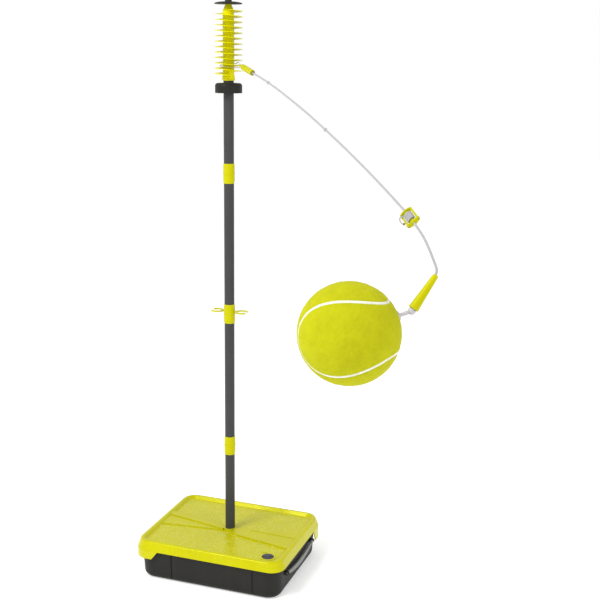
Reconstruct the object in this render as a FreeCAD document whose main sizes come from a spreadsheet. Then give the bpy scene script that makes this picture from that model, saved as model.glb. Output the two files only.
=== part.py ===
"""Tetherball set: a push-together mast on a carry-case base, with a helical spindle at the top.

Origin: on the mast's axis, at the flat underside of the base. +X runs along the base's long side,
+Y to its back, +Z up the mast. Lengths are in millimetres and angles in degrees.
"""
import FreeCAD, Part
import math
import os

from FreeCAD import Matrix, Placement, Rotation, Vector
import Sketcher

os.makedirs("parts", exist_ok=True)
doc = FreeCAD.newDocument("tetherball_set")

DIMENSIONS = [
    # base: half lengths of the tapered tray and lid
    ("tray_half_length_low", 226), ("tray_half_width_low", 180), ("tray_half_length_top", 231.6),
    ("tray_half_width_top", 184.8), ("tray_height", 113.5), ("tray_wall", 3), ("tray_corner", 44),
    ("tray_foot_round", 18), ("lid_half_length_low", 242.5), ("lid_half_width_low", 196),
    ("lid_half_length_top", 234), ("lid_half_width_top", 187.5), ("lid_corner", 46),
    ("lid_skirt_bottom", 97), ("lid_top", 125.5), ("lid_edge_round", 8), ("lid_wall", 3),
    ("lid_rest_gap", 0.3), ("lid_floor", 116.8), ("lid_recess_half_length", 214),
    ("lid_recess_half_width", 168), ("lid_recess_corner", 30), ("lid_recess_slope", 8),
    ("lid_tab_bottom", 71), ("lid_tab_low", 59), ("lid_tab_length", 62), ("lid_tab_slant", 22),
    ("panel_seam_left", -118), ("panel_seam_right", 149), ("panel_seam_width", 4.5),
    ("panel_seam_depth", 1.8), ("panel_seam_foot", 10), ("wedge_rise", 6), ("step_drop", 1.5),
    ("wedge_near", 17), ("ridge_near", 70), ("wedge_overlap", 6), ("filler_stop_radius", 5),
    ("filler_stop_rise", 4), ("filler_stop_x", 163), ("filler_stop_y", -117), ("socket_radius", 19),
    ("boss_top_radius", 21), ("socket_floor", 14), ("socket_bottom", 10), ("rib_thickness", 3),
    ("rib_bottom", 96), ("rib_front", 30), ("rib_back", 110), ("rib_end", -20),
    # ballast tank and its screw cap
    ("tank_left", -205), ("tank_right", 205), ("tank_front", -162), ("tank_back", -24),
    ("tank_bottom", 3.3), ("tank_top", 86), ("tank_wall", 2.5), ("tank_corner", 14), ("tank_foot_round", 8),
    ("filler_x", 181), ("filler_y", -138), ("neck_radius", 12.5), ("neck_bore", 9.5), ("neck_top", 113.5),
    ("filler_hole_radius", 18.5), ("filler_ring_radius", 24), ("filler_ring_rise", 2), ("cap_radius", 16.5),
    ("cap_bottom", 104), ("cap_top", 120.5), ("cap_plate", 4.5), ("cap_thread_gap", 0.3),
    ("gasket_inner", 10), ("gasket_gap", 0.2),
    # carry handle on the +X side
    ("handle_pivot_x", 236.5), ("handle_pivot_z", 64), ("handle_half_span", 112), ("handle_sag", 6),
    ("handle_belly", 22), ("handle_end_half", 4), ("handle_thick", 5), ("handle_peg_radius", 3),
    ("handle_peg_length", 7), ("peg_clearance", 0.1), ("lug_thick", 8), ("lug_gap", 0.5),
    ("lug_radius", 5.5),
    # mast
    ("tube_radius", 15), ("tube_bore", 13.5), ("slide_clearance", 0.1), ("joint_1", 400), ("joint_2", 821),
    ("joint_3", 1243), ("collar_half", 29), ("collar_end_radius", 16), ("collar_mid_radius", 17),
    ("collar_rib_radius", 17.6), ("collar_rib_half", 2.5), ("clip_offset", 40), ("clip_radius", 19),
    ("clip_bore", 16), ("clip_height", 4.5), ("clip_mouth", 10), ("clip_arm_width", 7),
    ("clip_level", 827.5), ("bumper_bottom", 1474), ("bumper_top", 1502), ("bumper_radius", 39),
    ("bumper_round", 8),
    # helical spindle
    ("spindle_bottom", 1509), ("skirt_radius", 18.6), ("skirt_top", 1520), ("core_radius", 16.4),
    ("cone_bottom", 1701), ("spindle_top", 1720), ("cone_radius", 8.5), ("spigot_bottom", 1469),
    ("spigot_clearance", 0.1), ("screw_bore", 2.6), ("screw_bore_depth", 32), ("flight_radius", 40.2),
    ("flight_root_radius", 13), ("flight_root_half", 1.5), ("flight_rim_half", 0.6), ("flight_pitch", 15),
    ("flight_turns", 12), ("flight_start", 1524.5), ("flight_start_angle", -67),
    # top cap
    ("top_cap_radius", 40), ("top_cap_rim", 2.5), ("top_cap_rise", 8), ("knob_radius", 10),
    ("knob_height", 16), ("screw_radius", 2.5), ("screw_reach", 26),
    # tether
    ("wire_radius", 1), ("loop_radius", 26), ("loop_leg", 42.5), ("eye_radius", 50), ("eye_angle", -27),
    ("tether_azimuth", -50), ("eye_ring_radius", 6), ("eye_ring_wire", 1.8), ("link_dip", 9.3),
    ("link_start", 6.3), ("link_length", 121.5), ("link_radius", 8.4), ("shank_radius", 1.7),
    ("shank_length", 22.5), ("cord_radius", 2.4), ("knot_radius", 4.1), ("winder_half_width", 16),
    ("winder_flange", 4), ("winder_depth", 8), ("winder_bar_offset", 12), ("winder_bar_radius", 2.2),
    ("winder_web_half", 4), ("winder_web_thick", 2.4), ("wrap_half_width", 9.2), ("wrap_half_length", 12),
    ("wrap_half_depth", 6.4), ("sleeve_top_radius", 5.6), ("sleeve_low_radius", 10),
    ("sleeve_length", 75.8), ("knuckle_radius", 7.5), ("knuckle_gap", 0.4), ("knuckle_offset", 4.4),
    ("stem_radius", 4.4), ("stem_clearance", 0.1), ("ball_distance", 123.5), ("ball_radius", 97.6),
    ("felt_thickness", 1.6), ("bladder_wall", 2), ("stem_depth", 14), ("anchor_radius", 11),
    ("anchor_thick", 4), ("anchor_gap", 0.3), ("boss_radius", 15), ("boss_depth", 24),
]
sheet = doc.addObject("Spreadsheet::Sheet", "Sizes")
for row, (alias, value) in enumerate(DIMENSIONS, start=1):
    sheet.set(f"A{row}", alias)
    sheet.set(f"B{row}", str(value))
    sheet.setAlias(f"B{row}", alias)
doc.recompute()
nodes = {}


def size(alias):
    """The value of a named cell."""
    return float(sheet.get(alias))


def formula(text):
    """An expression in cell names, with the sheet's name put before each."""
    names = sorted((alias for alias, _ in DIMENSIONS), key=len, reverse=True)
    words, i = "", 0
    while i < len(text):
        word = next((n for n in names if text.startswith(n, i)), None)
        words += f"Sizes.{word}" if word else text[i]
        i += len(word) if word else 1
    return words


def bind(item, **properties):
    """Bind properties of an object to formulas; x, y and z are its position."""
    for name, text in properties.items():
        path = f".Placement.Base.{name}" if name in "xyz" else name
        item.setExpression(path, formula(text))
    return item


def box(name, low, high):
    """A box between two corners, each three formulas."""
    item = doc.addObject("Part::Box", name)
    sides = [f"({b}) - ({a})" for a, b in zip(low, high)]
    return bind(item, Length=sides[0], Width=sides[1], Height=sides[2], x=low[0], y=low[1], z=low[2])


def cylinder(name, radius, low, high, x="0", y="0"):
    """An upright cylinder from height low to height high."""
    item = doc.addObject("Part::Cylinder", name)
    return bind(item, Radius=radius, Height=f"({high}) - ({low})", x=x, y=y, z=low)


def cut(name, base, tools):
    """The base without each of the tools."""
    for index, tool in enumerate(tools):
        item = doc.addObject("Part::Cut", f"{name}_cut_{index}")
        item.Base, item.Tool = base, tool
        base = item
    return base


def fuse(name, shapes):
    """One solid out of several."""
    item = doc.addObject("Part::MultiFuse", name)
    item.Shapes = shapes
    item.Refine = True
    return item


def common(name, first, second):
    """What two solids share."""
    item = doc.addObject("Part::Common", name)
    item.Base, item.Tool = first, second
    return item


def rounded(name, base, radius, chosen):
    """Round the edges of base for which chosen(edge) is true."""
    doc.recompute()
    item = doc.addObject("Part::Fillet", name)
    item.Base = base
    item.Edges = [(i, radius, radius) for i, edge in enumerate(base.Shape.Edges, start=1) if chosen(edge)]
    doc.recompute()
    return item


def tapered_block(name, half_x, half_y, low, high, corner):
    """An upright block that tapers from its lower to its upper rectangle, with rounded corners."""
    item = doc.addObject("Part::Wedge", name)
    bind(item, Xmin=f"-({half_x[0]})", Xmax=half_x[0], X2min=f"-({half_x[1]})", X2max=half_x[1],
         Zmin=f"-({half_y[0]})", Zmax=half_y[0], Z2min=f"-({half_y[1]})", Z2max=half_y[1],
         Ymin=low, Ymax=high)
    item.Placement = Placement(Vector(), Rotation(Vector(1, 0, 0), 90))
    return rounded(name + "_corners", item, corner, lambda edge: abs(edge.tangentAt(0).z) > 0.5)


def keep(label, item):
    """Give a finished sub-part its name."""
    item.Label = label
    nodes[label] = item
    return item


def lathe(name, profile):
    """A body turned about its own Z axis from a profile of (radius, height) formulas."""
    body = doc.addObject("PartDesign::Body", name)
    sketch = body.newObject("Sketcher::SketchObject", name + "_profile")
    plane = next(f for f in body.Origin.OriginFeatures if f.Role == "XZ_Plane")
    sketch.AttachmentSupport = [(plane, "")]
    sketch.MapMode = "FlatFace"
    points = [tuple(value_of(text) for text in point) for point in profile]
    for start, end in zip(points, points[1:] + points[:1]):
        sketch.addGeometry(Part.LineSegment(Vector(*start, 0), Vector(*end, 0)))
    for index, (radius, height) in enumerate(profile):
        sketch.addConstraint(Sketcher.Constraint("Coincident", (index - 1) % len(profile), 2, index, 1))
        pin_point(sketch, index, "DistanceX", -2, radius, points[index][0])
        pin_point(sketch, index, "DistanceY", -1, height, points[index][1])
    turn = body.newObject("PartDesign::Revolution", name + "_turned")
    turn.Profile = sketch
    turn.ReferenceAxis = (sketch, ["V_Axis"])
    turn.Angle = 360
    sketch.Visibility = False
    return body


def value_of(text):
    """The number that a formula of cell names stands for."""
    total = 0.0
    for term in text.replace(" - ", " + -").split(" + "):
        sign, word = (-1, term[1:]) if term.startswith("-") else (1, term)
        total += sign * (size(word) if word[0].isalpha() else float(word))
    return total


def pin_point(sketch, index, kind, axis, text, value):
    """Hold one coordinate of a line's start at a formula's value, or on the axis where it is zero."""
    if value == 0:
        sketch.addConstraint(Sketcher.Constraint("PointOnObject", index, 1, axis))
        return
    name = f"{kind}_{index}"
    sketch.addConstraint(Sketcher.Constraint(kind, -1, 1, index, 1, value))
    sketch.renameConstraint(sketch.ConstraintCount - 1, name)
    sketch.setExpression(f"Constraints.{name}", formula(text))


def solid(name, shape, placement=Placement()):
    """A sub-part whose shape comes from Part's own functions."""
    item = doc.addObject("Part::Feature", name)
    item.Shape = shape
    item.Placement = placement
    return item


def frame_along(direction, hint, origin=Vector()):
    """A placement whose Z axis is direction and whose X axis is as near as can be to hint."""
    axis_z = Vector(direction).normalize()
    axis_y = axis_z.cross(Vector(hint)).normalize()
    axis_x = axis_y.cross(axis_z)
    turn = Matrix(axis_x.x, axis_y.x, axis_z.x, 0, axis_x.y, axis_y.y, axis_z.y, 0,
                  axis_x.z, axis_y.z, axis_z.z, 0, 0, 0, 0, 1)
    return Placement(Vector(origin), Rotation(turn))


def tangent_tube(name, points, radius):
    """A round tube along straight runs joined by tangent arcs. Prints its bend radii and volume."""
    edges, start, bends = [], points[0], []
    for before, point, after in zip(points, points[1:], points[2:]):
        back, ahead = before - point, after - point
        half_turn = (math.pi - back.getAngle(ahead)) / 2
        reach = 0.45 * min(back.Length, ahead.Length)
        first = point + back * (reach / back.Length)
        last = point + ahead * (reach / ahead.Length)
        bend = reach / math.tan(half_turn)
        bends.append(bend)
        centre = point + (back.normalize() + ahead.normalize()).normalize() * (bend / math.cos(half_turn))
        middle = centre + (point - centre).normalize() * bend
        edges.append(Part.LineSegment(start, first).toShape())
        edges.append(Part.Arc(first, middle, last).toShape())
        start = last
    edges.append(Part.LineSegment(start, points[-1]).toShape())
    path = Part.Wire(edges)
    section = Part.Wire(Part.makeCircle(radius, points[0], points[1] - points[0]))
    tube = path.makePipeShell([section], True, False)
    expected = math.pi * radius ** 2 * path.Length
    print(f"{name}: length {path.Length:.0f}, smallest bend {min(bends):.1f}, "
          f"volume over section x length {tube.Volume / expected:.4f}")
    return tube


# --- base tray -------------------------------------------------------------------------------------
def at_foot(edge):
    return edge.BoundBox.ZMax < 0.01


def at_lid_top(edge):
    return edge.BoundBox.ZMin > size("lid_top") - 0.01


def make_tray():
    shell = tapered_block("tray_block", ("tray_half_length_low", "tray_half_length_top"),
                          ("tray_half_width_low", "tray_half_width_top"), "0", "tray_height",
                          size("tray_corner"))
    shell = rounded("tray_outside", shell, size("tray_foot_round"), at_foot)
    hollow = tapered_block("tray_hollow",
                           ("tray_half_length_low - tray_wall", "tray_half_length_top - tray_wall"),
                           ("tray_half_width_low - tray_wall", "tray_half_width_top - tray_wall"),
                           "tray_wall", "tray_height + 0.1", size("tray_corner") - size("tray_wall"))
    hollow = rounded("tray_inside", hollow, size("tray_foot_round"),
                     lambda edge: edge.BoundBox.ZMax < size("tray_wall") + 0.01)
    draft = math.degrees(math.atan((size("tray_half_width_top") - size("tray_half_width_low"))
                                   / size("tray_height")))
    seams = []
    for index, place in enumerate(("panel_seam_left", "panel_seam_right")):
        low = (f"{place} - panel_seam_width / 2", "-tray_half_width_low - 4", "panel_seam_foot")
        high = (f"{place} + panel_seam_width / 2", "-tray_half_width_low + panel_seam_depth",
                "tray_height + 6")
        seam = box(f"panel_seam_{index}", low, high)
        seam.Placement.Rotation = Rotation(Vector(1, 0, 0), draft)
        seams.append(seam)
    keep("base_tray", cut("tray", shell, [hollow] + seams))
    for side, word in ((-1, "low"), (1, "high")):
        inner = "handle_half_span + lug_gap"
        outer = "handle_half_span + lug_gap + lug_thick"
        near, far = (inner, outer) if side > 0 else (f"-({outer})", f"-({inner})")
        arm = box(f"lug_arm_{word}", ("tray_half_length_low + 1", near, "handle_pivot_z - lug_radius"),
                  ("handle_pivot_x", far, "handle_pivot_z + lug_radius"))
        eye = doc.addObject("Part::Cylinder", f"lug_eye_{word}")
        bind(eye, Radius="lug_radius", Height="lug_thick", x="handle_pivot_x", y=far, z="handle_pivot_z")
        eye.Placement.Rotation = Rotation(Vector(1, 0, 0), 90)
        bore = doc.addObject("Part::Cylinder", f"lug_bore_{word}")
        bind(bore, Radius="handle_peg_radius + peg_clearance", Height="lug_thick + 2", x="handle_pivot_x",
             y=f"{far} + 1", z="handle_pivot_z")
        bore.Placement.Rotation = Rotation(Vector(1, 0, 0), 90)
        word = "front" if side < 0 else "back"
        keep(f"handle_lug_{word}", cut(f"lug_{word}", fuse(f"lug_whole_{word}", [arm, eye]), [shell, bore]))


def make_handle():
    """A lens-shaped strap that hangs between the lugs, with an eye and a peg at each end."""
    half, level, thick = size("handle_half_span"), size("handle_pivot_z"), size("handle_thick")
    left, end = size("handle_pivot_x") - thick / 2, size("handle_end_half")
    corners = [Vector(left, y, z) for y, z in (
        (-half, level + end), (0, level - size("handle_sag")), (half, level + end), (half, level - end),
        (0, level - size("handle_belly")), (-half, level - end))]
    outline = Part.Wire([Part.Arc(*corners[:3]).toShape(), Part.makeLine(corners[2], corners[3]),
                         Part.Arc(*corners[3:]).toShape(), Part.makeLine(corners[5], corners[0])])
    pieces = [solid("handle_strap", Part.Face(outline).extrude(Vector(thick, 0, 0)))]
    for side, word in ((-1, "low"), (1, "high")):
        eye = doc.addObject("Part::Cylinder", f"handle_eye_{word}")
        bind(eye, Radius="handle_end_half + 0.8", Height="10", x="handle_pivot_x",
             y="handle_half_span" if side > 0 else "-handle_half_span + 10", z="handle_pivot_z")
        eye.Placement.Rotation = Rotation(Vector(1, 0, 0), 90)
        peg = doc.addObject("Part::Cylinder", f"handle_peg_{word}")
        tip = "handle_half_span + handle_peg_length" if side > 0 else "-handle_half_span"
        bind(peg, Radius="handle_peg_radius", Height="handle_peg_length", x="handle_pivot_x", y=tip,
             z="handle_pivot_z")
        peg.Placement.Rotation = Rotation(Vector(1, 0, 0), 90)
        pieces += [eye, peg]
    keep("carry_handle", fuse("handle", pieces))


def make_lid():
    outside = tapered_block("lid_block", ("lid_half_length_low", "lid_half_length_top"),
                            ("lid_half_width_low", "lid_half_width_top"), "lid_skirt_bottom", "lid_top",
                            size("lid_corner"))
    outside = rounded("lid_outside", outside, size("lid_edge_round"), at_lid_top)
    under = "tray_height + lid_rest_gap"
    hollow = tapered_block("lid_hollow",
                           ("lid_half_length_low - lid_wall", "lid_half_length_top - lid_wall + 2"),
                           ("lid_half_width_low - lid_wall", "lid_half_width_top - lid_wall + 2"),
                           "lid_skirt_bottom - 0.1", under, size("lid_corner") - size("lid_wall"))
    recess = tapered_block("lid_recess",
                           ("lid_recess_half_length", "lid_recess_half_length + lid_recess_slope"),
                           ("lid_recess_half_width", "lid_recess_half_width + lid_recess_slope"),
                           "lid_floor", "lid_top + 0.1", size("lid_recess_corner"))
    shell = cut("lid_shell", outside, [hollow, recess])
    extras = [
        cylinder("mast_socket", "socket_radius", "socket_bottom", "lid_floor"),
        cylinder("mast_boss", "boss_top_radius", under, "lid_floor + wedge_rise"),
        cylinder("filler_ring", "filler_ring_radius", under, "lid_floor + filler_ring_rise",
                 "filler_x", "filler_y"),
        cylinder("filler_stop", "filler_stop_radius", under, "lid_floor + filler_stop_rise",
                 "filler_stop_x", "filler_stop_y"),
        box("rib_across", ("-rib_thickness / 2", "rib_end", "rib_bottom"),
            ("rib_thickness / 2", "rib_back", under)),
    ]
    for place in ("rib_front", "rib_back"):
        extras.append(box(f"{place}_along",
                          ("-lid_recess_half_length", f"{place} - rib_thickness / 2", "rib_bottom"),
                          ("lid_recess_half_length", f"{place} + rib_thickness / 2", under)))
    holes = [
        cylinder("socket_bore", "tube_radius + slide_clearance", "socket_floor", "lid_top + 5"),
        cylinder("filler_hole", "filler_hole_radius", "lid_skirt_bottom", "lid_top + 5",
                 "filler_x", "filler_y"),
    ]
    body = fuse("lid_body", [shell] + extras + make_wedges() + make_tabs())
    keep("lid", cut("lid_holes", body, holes))


# Each wedge on the lid's floor: its near end, its y limits there and at the rim, and its rise.
WEDGES = [
    ("left_ridge", "wedge_near", ("-18", "2"), ("21", "46"), "wedge_rise"),
    ("left_step", "wedge_near", ("-20", "0"), ("-43", "24"), "wedge_rise - 2 * step_drop"),
    ("right_ridge", "ridge_near", ("1.5", "10.8"), ("-4", "39"), "wedge_rise"),
    ("right_step", "wedge_near", ("-35", "2"), ("-73", "39"), "wedge_rise - step_drop"),
]


def make_wedges():
    """The raised wedges that widen from the mast to the two short rims, each with a step in it."""
    wedges = []
    rim = "lid_recess_half_length + wedge_overlap"
    for word, near, near_limits, rim_limits, rise in WEDGES:
        wedge = doc.addObject("Part::Wedge", f"wedge_{word}")
        ends = [(near, near_limits), (rim, rim_limits)]
        if word.startswith("left"):
            ends = [(f"-({rim})", rim_limits), (f"-({near})", near_limits)]
        (first, low_limits), (last, high_limits) = ends
        top, foot = f"-lid_floor - ({rise})", "-lid_floor + 1"
        bind(wedge, Ymin=first, Ymax=last, Xmin=low_limits[0], Xmax=low_limits[1], X2min=high_limits[0],
             X2max=high_limits[1], Zmin=top, Zmax=foot, Z2min=top, Z2max=foot)
        wedge.Placement = Placement(Vector(), Rotation(Vector(1, 1, 0), 180))
        wedges.append(wedge)
    return wedges


def make_tabs():
    """The skirt's hanging tabs at two opposite corners, cut from a longer skirt of the same draft."""
    low, top = "lid_tab_low", "lid_skirt_bottom + 1"
    outside = tapered_block("tab_outside", ("lid_half_length_low", "lid_half_length_low"),
                            ("lid_half_width_low", "lid_half_width_low"), low, top, size("lid_corner"))
    inside = tapered_block("tab_inside", ("lid_half_length_low - lid_wall", "lid_half_length_low - lid_wall"),
                           ("lid_half_width_low - lid_wall", "lid_half_width_low - lid_wall"),
                           "lid_tab_low - 1", "lid_skirt_bottom + 2", size("lid_corner") - size("lid_wall"))
    skirt = cut("tab_skirt", outside, [inside])
    tabs = []
    for word, x_side, y_side, foot in (("front_left", -1, -1, "lid_tab_bottom"),
                                       ("back_right", 1, 1, "lid_tab_low")):
        outer_x = x_side * (size("lid_half_length_low") + 5)
        outer_y = y_side * (size("lid_half_width_low") + 5)
        inner_x = x_side * (size("lid_half_length_low") - size("lid_tab_length"))
        inner_y = y_side * (size("lid_half_width_low") - size("lid_tab_length"))
        slant = size("lid_tab_slant")
        wedge = doc.addObject("Part::Wedge", f"tab_{word}")
        wedge.Ymin, wedge.Ymax = size(foot), size("lid_skirt_bottom") + 1
        wedge.Xmin, wedge.Xmax = sorted((inner_x, outer_x))
        wedge.Zmin, wedge.Zmax = sorted((-inner_y, -outer_y))
        wedge.X2min, wedge.X2max = sorted((inner_x - x_side * slant, outer_x))
        wedge.Z2min, wedge.Z2max = sorted((-(inner_y - y_side * slant), -outer_y))
        wedge.Placement = Placement(Vector(), Rotation(Vector(1, 0, 0), 90))
        tabs.append(common(f"tab_piece_{word}", skirt, wedge))
    return tabs


def make_tank():
    outside = rounded("tank_outside",
                      box("tank_block", ("tank_left", "tank_front", "tank_bottom"),
                          ("tank_right", "tank_back", "tank_top")),
                      size("tank_corner"), lambda edge: edge.BoundBox.ZLength > 1)
    outside = rounded("tank_outside_foot", outside, size("tank_foot_round"),
                      lambda edge: edge.BoundBox.ZMax < size("tank_bottom") + 0.01)
    inside = rounded("tank_inside",
                     box("tank_space", ("tank_left + tank_wall", "tank_front + tank_wall",
                                        "tank_bottom + tank_wall"),
                         ("tank_right - tank_wall", "tank_back - tank_wall", "tank_top - tank_wall")),
                     size("tank_corner") - size("tank_wall"), lambda edge: edge.BoundBox.ZLength > 1)
    inside = rounded("tank_inside_foot", inside, size("tank_foot_round") - size("tank_wall"),
                     lambda edge: edge.BoundBox.ZMax < size("tank_bottom") + size("tank_wall") + 0.01)
    neck = cylinder("neck_outside", "neck_radius", "tank_top", "neck_top", "filler_x", "filler_y")
    bore = cylinder("neck_way", "neck_bore", "tank_top - 10", "neck_top + 1", "filler_x", "filler_y")
    keep("ballast_tank", cut("tank", outside, [inside, bore]))
    keep("tank_neck", cut("neck", neck, [bore]))


def make_filler_cap():
    low, high = "neck_top + gasket_gap", "cap_top - cap_plate - gasket_gap"
    gasket = lathe("gasket", [("gasket_inner", low), ("neck_radius", low), ("neck_radius", high),
                              ("gasket_inner", high)])
    bind(gasket, x="filler_x", y="filler_y")
    keep("cap_gasket", gasket)
    inner = "neck_radius + cap_thread_gap"
    plate = "cap_top - cap_plate"
    cap = lathe("screw_cap", [("0", plate), (inner, plate), (inner, "cap_bottom"),
                              ("cap_radius", "cap_bottom"), ("cap_radius", "cap_top - 1.5"),
                              ("cap_radius - 1.5", "cap_top"),
                              ("0", "cap_top")])
    bind(cap, x="filler_x", y="filler_y")
    grip = box("cap_grip", ("filler_x - cap_radius + 3", "filler_y - 2", "cap_top - 0.5"),
               ("filler_x + cap_radius - 3", "filler_y + 2", "cap_top + 1.5"))
    keep("filler_cap", fuse("cap_and_grip", [cap, grip]))


# --- mast ------------------------------------------------------------------------------------------
def make_tube(label, low, high):
    outer = cylinder(label + "_outside", "tube_radius", low, high)
    bore = cylinder(label + "_bore", "tube_bore", f"{low} - 1", f"{high} + 1")
    keep(label, cut(label, outer, [bore]))


def make_collar(name, joint):
    """A barrel collar: tight on the tube below the joint, and a sliding fit on the tube above it."""
    low, high = f"{joint} - collar_half", f"{joint} + collar_half"
    loose = "tube_radius + slide_clearance"
    rib_low, rib_high = f"{joint} - collar_rib_half", f"{joint} + collar_rib_half"
    return lathe(name, [
        ("tube_radius", low), ("collar_end_radius", low), ("collar_mid_radius", low + " + 8"),
        ("collar_mid_radius", rib_low), ("collar_rib_radius", rib_low), ("collar_rib_radius", rib_high),
        ("collar_mid_radius", rib_high),
        ("collar_mid_radius", high + " - 8"), ("collar_end_radius", high), (loose, high), (loose, joint),
        ("tube_radius", joint)])


def make_clip_collar():
    """The middle collar, with a bat clip on each side: a ring with an open mouth on a short arm."""
    collar = make_collar("clip_collar", "joint_2")
    low, high = "clip_level - clip_height / 2", "clip_level + clip_height / 2"
    pieces, spaces = [collar], []
    for word, side in (("left", "-"), ("right", "")):
        centre = f"{side}clip_offset"
        ring = cylinder(f"clip_ring_{word}", "clip_radius", low, high, centre)
        ends = ("collar_mid_radius - 1", "clip_offset - clip_bore - 1")
        near, far = ends if side == "" else (f"-({ends[1]})", f"-({ends[0]})")
        arm = box(f"clip_arm_{word}", (near, "-clip_arm_width / 2", low), (far, "clip_arm_width / 2", high))
        space = cylinder(f"clip_space_{word}", "clip_bore", f"{low} - 1", f"{high} + 1", centre)
        reach = ("clip_offset", "clip_offset + clip_radius + 1")
        near, far = reach if side == "" else (f"-({reach[1]})", f"-({reach[0]})")
        mouth = box(f"clip_mouth_{word}", (near, "-clip_mouth", f"{low} - 1"),
                    (far, "clip_mouth", f"{high} + 1"))
        pieces += [ring, arm]
        spaces += [space, mouth]
    keep("middle_collar", cut("clip_collar_open", fuse("clip_collar_solid", pieces), spaces))


def make_mast():
    make_tube("mast_tube_1", "socket_floor", "joint_1")
    make_tube("mast_tube_2", "joint_1", "joint_2")
    make_tube("mast_tube_3", "joint_2", "joint_3")
    make_tube("mast_tube_4", "joint_3", "spindle_bottom")
    keep("lower_collar", make_collar("collar_low", "joint_1"))
    make_clip_collar()
    keep("upper_collar", make_collar("collar_high", "joint_3"))
    bumper = lathe("bumper", [("tube_radius", "bumper_bottom"), ("bumper_radius", "bumper_bottom"),
                              ("bumper_radius", "bumper_top"), ("tube_radius", "bumper_top")])
    doc.recompute()
    rim = [f"Edge{i}" for i, edge in enumerate(bumper.Tip.Shape.Edges, start=1)
           if edge.BoundBox.ZMin > size("bumper_top") - 0.1 and edge.BoundBox.XMax > size("tube_radius") + 1]
    fillet = bumper.newObject("PartDesign::Fillet", "bumper_edge")
    fillet.Base = (bumper.Group[-2], rim)
    fillet.setExpression("Radius", formula("bumper_round"))
    keep("bumper_collar", bumper)


def make_spindle():
    """A turned core with a left-handed flight, a skirt that sits on the tube and a spigot inside it."""
    spigot = "tube_bore - spigot_clearance"
    core = lathe("spindle", [
        ("0", "spigot_bottom"), (spigot, "spigot_bottom"), (spigot, "spindle_bottom"),
        ("skirt_radius", "spindle_bottom"), ("skirt_radius - 0.4", "skirt_top"),
        ("core_radius", "skirt_top + 3"),
        ("core_radius", "cone_bottom"), ("cone_radius", "spindle_top"), ("screw_bore", "spindle_top"),
        ("screw_bore", "spindle_top - screw_bore_depth"), ("0", "spindle_top - screw_bore_depth")])
    flight = core.newObject("Sketcher::SketchObject", "flight_profile")
    plane = next(f for f in core.Origin.OriginFeatures if f.Role == "XZ_Plane")
    flight.AttachmentSupport = [(plane, "")]
    flight.MapMode = "FlatFace"
    profile = [("flight_root_radius", "flight_start - flight_root_half"),
               ("flight_radius", "flight_start - flight_rim_half"),
               ("flight_radius", "flight_start + flight_rim_half"),
               ("flight_root_radius", "flight_start + flight_root_half")]
    points = [tuple(value_of(text) for text in point) for point in profile]
    for start, end in zip(points, points[1:] + points[:1]):
        flight.addGeometry(Part.LineSegment(Vector(*start, 0), Vector(*end, 0)))
    for index, (radius, height) in enumerate(profile):
        flight.addConstraint(Sketcher.Constraint("Coincident", (index - 1) % len(profile), 2, index, 1))
        pin_point(flight, index, "DistanceX", -2, radius, points[index][0])
        pin_point(flight, index, "DistanceY", -1, height, points[index][1])
    doc.recompute()
    helix = core.newObject("PartDesign::AdditiveHelix", "flight")
    helix.Profile = flight
    helix.ReferenceAxis = (flight, ["V_Axis"])
    helix.Mode = "pitch-turns-angle"
    helix.LeftHanded = True
    helix.setExpression("Pitch", formula("flight_pitch"))
    helix.setExpression("Turns", formula("flight_turns"))
    core.Placement = Placement(Vector(), Rotation(Vector(0, 0, 1), size("flight_start_angle")))
    keep("helix_spindle", core)


def make_top():
    low, rim, top = "spindle_top", "spindle_top + top_cap_rim", "spindle_top + top_cap_rise"
    cap = lathe("cap_dome", [("screw_radius", low), ("top_cap_radius", low), ("top_cap_radius", rim),
                             ("knob_radius", top), ("screw_radius", top)])
    keep("top_cap", cap)
    screw_end, knob_top = "spindle_top - screw_reach", f"{top} + knob_height"
    knob = lathe("cap_screw", [("0", screw_end), ("screw_radius", screw_end), ("screw_radius", top),
                               ("knob_radius", top), ("knob_radius", f"{knob_top} - 3"),
                               ("knob_radius - 3", knob_top), ("0", knob_top)])
    keep("top_knob", knob)


# --- tether ----------------------------------------------------------------------------------------
def polar(radius, angle, height):
    turn = math.radians(angle)
    return Vector(radius * math.cos(turn), radius * math.sin(turn), height)


def eye_height():
    """The height of the flight's middle at the eye, in the flight's second turn."""
    turns = 1 + ((size("flight_start_angle") - size("eye_angle")) % 360) / 360
    return size("flight_start") + turns * size("flight_pitch")


def make_wire_loop():
    """A closed wire: down the groove for one turn round the core, and back over the flight at the eye."""
    top = eye_height() + size("flight_pitch") / 2
    angle, steps = size("eye_angle"), 12
    points = [polar(size("eye_radius"), angle, eye_height()), polar(size("eye_radius"), angle, top),
              polar(size("loop_leg") - 7, angle, top)]
    for step in range(1, steps):
        share = step / steps
        points.append(polar(size("loop_radius"), angle + 360 * share, top - share * size("flight_pitch")))
    low = eye_height() - size("flight_pitch") / 2
    points += [polar(size("loop_leg") - 7, angle, low), polar(size("eye_radius"), angle, low),
               polar(size("eye_radius"), angle, eye_height() - 0.02)]
    return keep("wire_loop", solid("loop_wire", tangent_tube("wire_loop", points, size("wire_radius"))))


def tether_frame():
    """The tether's own frame: origin at the eye, X outwards along the tether, Z up."""
    turn = Rotation(Vector(0, 0, 1), size("tether_azimuth"))
    return Placement(polar(size("eye_radius"), size("eye_angle"), eye_height()), turn)


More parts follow.
